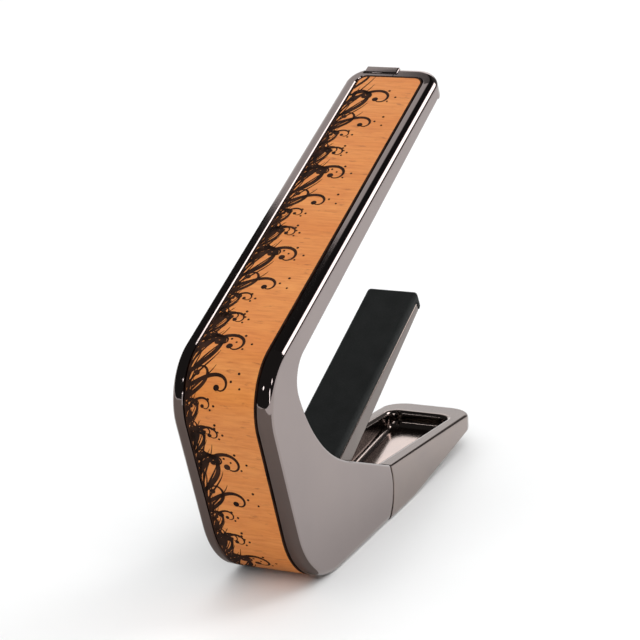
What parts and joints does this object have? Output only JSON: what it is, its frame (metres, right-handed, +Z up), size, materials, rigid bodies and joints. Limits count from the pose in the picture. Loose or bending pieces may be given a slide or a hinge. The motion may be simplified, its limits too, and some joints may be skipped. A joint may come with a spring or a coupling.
{
  "type": "guitar capo",
  "caption": "Sprung guitar capo: bent metal body with a wood strip, a rubber-padded arm over the frets, a padded neck arm and a squeeze lever.",
  "frame": {"origin": "centre of the bottom of the bounding box, on the surface that the capo's foot stands on", "axes": "+Z up from the surface, +X from the free tips of the arms towards the bend of the body, Y across the jaw from its right half (-Y) to its left half (+Y)"},
  "size_m": [0.0754, 0.0154, 0.0659],
  "materials": {
    "gunmetal_shell": "polished black chrome over a die-cast shell, rounded edges",
    "taupe_plate": "satin warm grey plating, faint mottling",
    "neck_arm_metal": "satin grey plating",
    "honey_wood": "satin varnish, fine grain along the strip",
    "pad_rubber": "matte moulded silicone rubber",
    "carrier_plastic": "fine moulded texture",
    "pin_steel": "turned steel",
    "spring_steel": "dark music wire",
    "bush_bronze": "sintered bronze",
    "sleeve_nylon": "natural nylon"
  },
  "bodies": {
    "body": {"body_half_left": "gunmetal_shell", "body_half_right": "gunmetal_shell", "heel_dowel": "pin_steel", "shoulder_dowel": "pin_steel", "arm_dowel_low": "pin_steel", "arm_dowel_high": "pin_steel", "wood_inlay": "honey_wood", "riser_plate": "pin_steel", "riser_screw_1": "pin_steel", "riser_screw_2": "pin_steel", "riser_screw_3": "pin_steel", "riser_screw_4": "pin_steel", "fret_pad_carrier": "carrier_plastic", "fret_pad": "pad_rubber", "pad_latch": "gunmetal_shell", "neck_pivot_pin": "pin_steel", "lever_pivot_pin": "pin_steel", "neck_spacer_left": "sleeve_nylon", "neck_spacer_right": "sleeve_nylon", "rest_bumper_left": "pad_rubber", "rest_bumper_right": "pad_rubber", "torsion_spring": "spring_steel"},
    "neck_arm": {"neck_arm": "neck_arm_metal", "neck_pad": "pad_rubber", "link_pin": "pin_steel", "neck_bush_left": "bush_bronze", "neck_bush_right": "bush_bronze", "spring_sleeve": "sleeve_nylon"},
    "lever": {"lever": "taupe_plate", "lever_bush_left": "bush_bronze", "lever_bush_right": "bush_bronze", "lever_sleeve": "sleeve_nylon"}
  },
  "joints": [
    {"name": "lever_squeeze", "type": "hinge", "parent": "body", "child": "lever", "pos_m": [0.00492, 0, 0.0053], "axis": [0, 1, 0], "range_deg": [0, 18], "stiffness_Nm_per_rad": 0.25, "springref_deg": -34.38},
    {"name": "neck_arm_swing", "type": "hinge", "parent": "body", "child": "neck_arm", "pos_m": [0.01742, 0, 0.0088], "axis": [0, 1, 0], "range_deg": [-18, 0], "deforming": ["torsion_spring"]}
  ],
  "couplings": [
    {"joint": "neck_arm_swing", "follows": "lever_squeeze", "ratio": -1}
  ]
}
